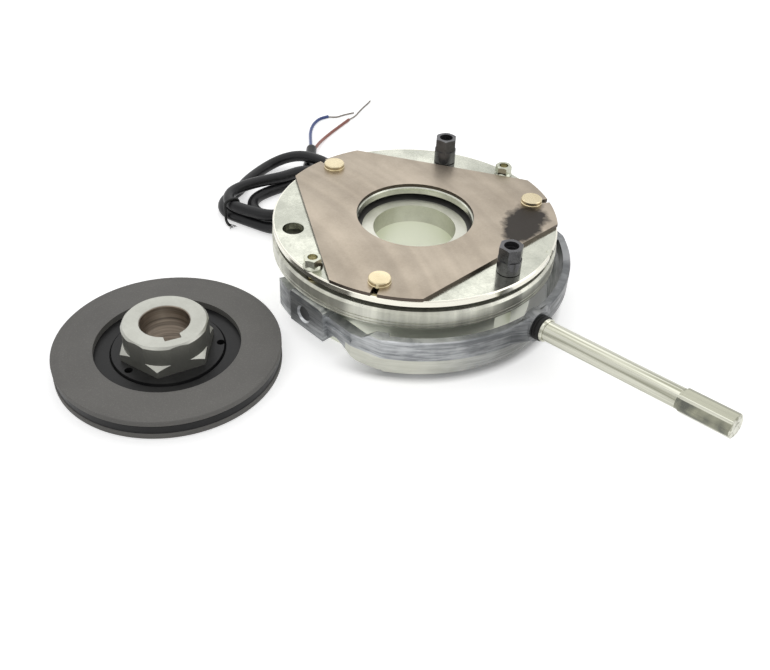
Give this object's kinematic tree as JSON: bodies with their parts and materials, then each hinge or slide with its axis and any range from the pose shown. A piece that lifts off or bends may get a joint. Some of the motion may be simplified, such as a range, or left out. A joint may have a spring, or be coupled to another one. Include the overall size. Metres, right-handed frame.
{
  "type": "spring-applied electromagnetic brake",
  "caption": "Round spring-applied magnetic brake with a hand-release lever and yoke, its loose friction rotor on a hexagonal keyed hub, and a short coiled cable with bare ends",
  "frame": {"origin": "on the brake's axis, at the magnet's back face, which lies on the floor", "axes": "+Z from the magnet through the armature, +X along the hand lever, +Y to the left of the lever seen from above"},
  "size_m": [0.3811, 0.3315, 0.0586],
  "materials": {
    "zinc_plate": "bright zinc plate with a faint yellow-green tint",
    "bobbin_nylon": "moulded nylon, hidden",
    "copper": "bare copper wire",
    "potting": "dark potting resin",
    "black_oxide": "black oxide with a dull shine",
    "spring_steel": "drawn spring wire",
    "friction_steel": "satin rolled steel, warm grey",
    "brass": "pale brass, turned",
    "yellow_zinc": "yellow passivated zinc",
    "nut_steel": "zinc plated flange nut",
    "pin_steel": "dull steel",
    "cast_yoke": "die cast, mottled blue-grey",
    "black_rubber": "black rubber",
    "bright_steel": "bright plated steel",
    "carrier_black": "black coated carrier",
    "lining": "matt grey friction lining",
    "hub_steel": "zinc plated steel",
    "cable_black": "satin black sheath",
    "tie_black": "black coated wire tie",
    "core_blue": "blue core insulation",
    "core_brown": "red-brown core insulation"
  },
  "bodies": {
    "brake_frame": {"magnet_body": "zinc_plate", "coil_bobbin": "bobbin_nylon", "coil_winding": "copper", "potting_ring": "potting", "hollow_bolt_front": "black_oxide", "hollow_bolt_rear": "black_oxide", "torque_springs": "spring_steel", "release_springs": "spring_steel", "rotor_carrier": "carrier_black", "friction_lining_lower": "lining", "friction_lining_upper": "lining", "cable_grommet": "black_rubber", "cable_lead": "cable_black", "cable_coil": "cable_black", "cable_tail": "cable_black", "cable_tie": "tie_black", "blue_core": "core_blue", "brown_core": "core_brown", "bare_strands": "copper"},
    "armature": {"armature_plate": "zinc_plate", "friction_plate": "friction_steel", "plate_pins": "brass", "release_studs": "yellow_zinc", "release_nuts": "nut_steel", "cross_pins": "pin_steel"},
    "release_yoke": {"release_yoke": "cast_yoke", "lever_seal_ring": "black_rubber", "lever_collar": "bright_steel", "lever_rod": "bright_steel", "lever_end_grip": "bright_steel"},
    "hub": {"rotor_hub": "hub_steel"}
  },
  "joints": [
    {"name": "armature_slide", "type": "slide", "parent": "brake_frame", "child": "armature", "axis": [0, 0, 1], "range_m": [-0.0026, 0], "stiffness_N_per_m": 5000, "springref_m": 0.004, "deforming": ["torque_springs", "release_springs"]},
    {"name": "release_lever", "type": "hinge", "parent": "armature", "child": "release_yoke", "pos_m": [0, 0, 0.0175], "axis": [0, -1, 0], "range_deg": [0, 9]},
    {"name": "hub_slide", "type": "slide", "parent": "brake_frame", "child": "hub", "axis": [0, 0, 1], "range_m": [0, 0.01]}
  ],
  "couplings": [
    {"joint": "armature_slide", "follows": "release_lever", "m_per_rad": -0.011}
  ]
}
